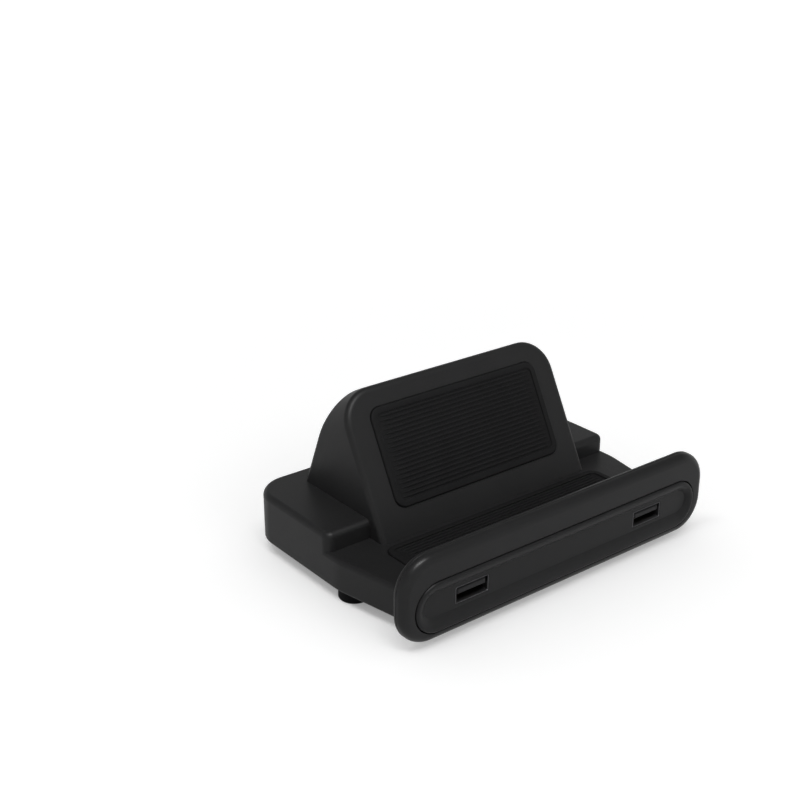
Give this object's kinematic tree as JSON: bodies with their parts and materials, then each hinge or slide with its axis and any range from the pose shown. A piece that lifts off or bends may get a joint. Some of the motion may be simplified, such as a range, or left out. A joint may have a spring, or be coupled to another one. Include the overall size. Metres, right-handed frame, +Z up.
{
  "type": "handheld console dock",
  "caption": "Dock for a handheld game console: a rounded front bar with two type-A sockets, a padded seat behind it, and a leaning back rest on a base with rear sockets.",
  "frame": {"origin": "middle of the footprint, on the table under the feet", "axes": "+X along the front bar to the right as seen from the front, +Y to the back, +Z up"},
  "size_m": [0.1314, 0.0886, 0.0586],
  "materials": {
    "bar_plastic": "fine satin moulded black",
    "panel_plastic": "smooth satin moulded black",
    "body_plastic": "fine satin moulded black",
    "soft_rubber": "matt black",
    "foot_rubber": "matt black",
    "socket_metal": "plated sheet",
    "socket_plastic": "moulded dark grey",
    "contact_gold": "gold flash",
    "screw_steel": "black zinc",
    "board_laminate": "solder mask",
    "ribbon_film": "white film",
    "plug_plastic": "ivory",
    "chip_resin": "moulded resin",
    "inductor_ferrite": "ferrite grey",
    "can_aluminium": "bright can",
    "crystal_metal": "bright can"
  },
  "bodies": {
    "root": {"front_cover": "bar_plastic", "port_panel": "panel_plastic", "bar_back_shell": "bar_plastic", "cradle_cover": "body_plastic", "base_tray": "body_plastic", "seat_pad": "soft_rubber", "rest_pad": "soft_rubber", "foot_front_left": "foot_rubber", "foot_front_right": "foot_rubber", "foot_rear_left": "foot_rubber", "foot_rear_right": "foot_rubber", "type_a_shell_left": "socket_metal", "type_a_shell_right": "socket_metal", "type_a_tongue_left": "socket_plastic", "type_a_tongue_right": "socket_plastic", "type_a_contacts_left": "contact_gold", "type_a_contacts_right": "contact_gold", "video_shell": "socket_metal", "video_tongue": "socket_plastic", "type_c_shell_link": "socket_metal", "type_c_shell_power": "socket_metal", "type_c_tongue_link": "socket_plastic", "type_c_tongue_power": "socket_plastic", "base_screws": "screw_steel", "bar_screws": "screw_steel", "board_screws": "screw_steel", "port_board": "board_laminate", "main_board": "board_laminate", "ribbon": "ribbon_film", "ribbon_plug_front": "plug_plastic", "ribbon_plug_rear": "plug_plastic", "hub_chip": "chip_resin", "video_chip": "chip_resin", "power_chip": "chip_resin", "inductor": "inductor_ferrite", "capacitors": "can_aluminium", "crystal": "crystal_metal"}
  },
  "joints": []
}
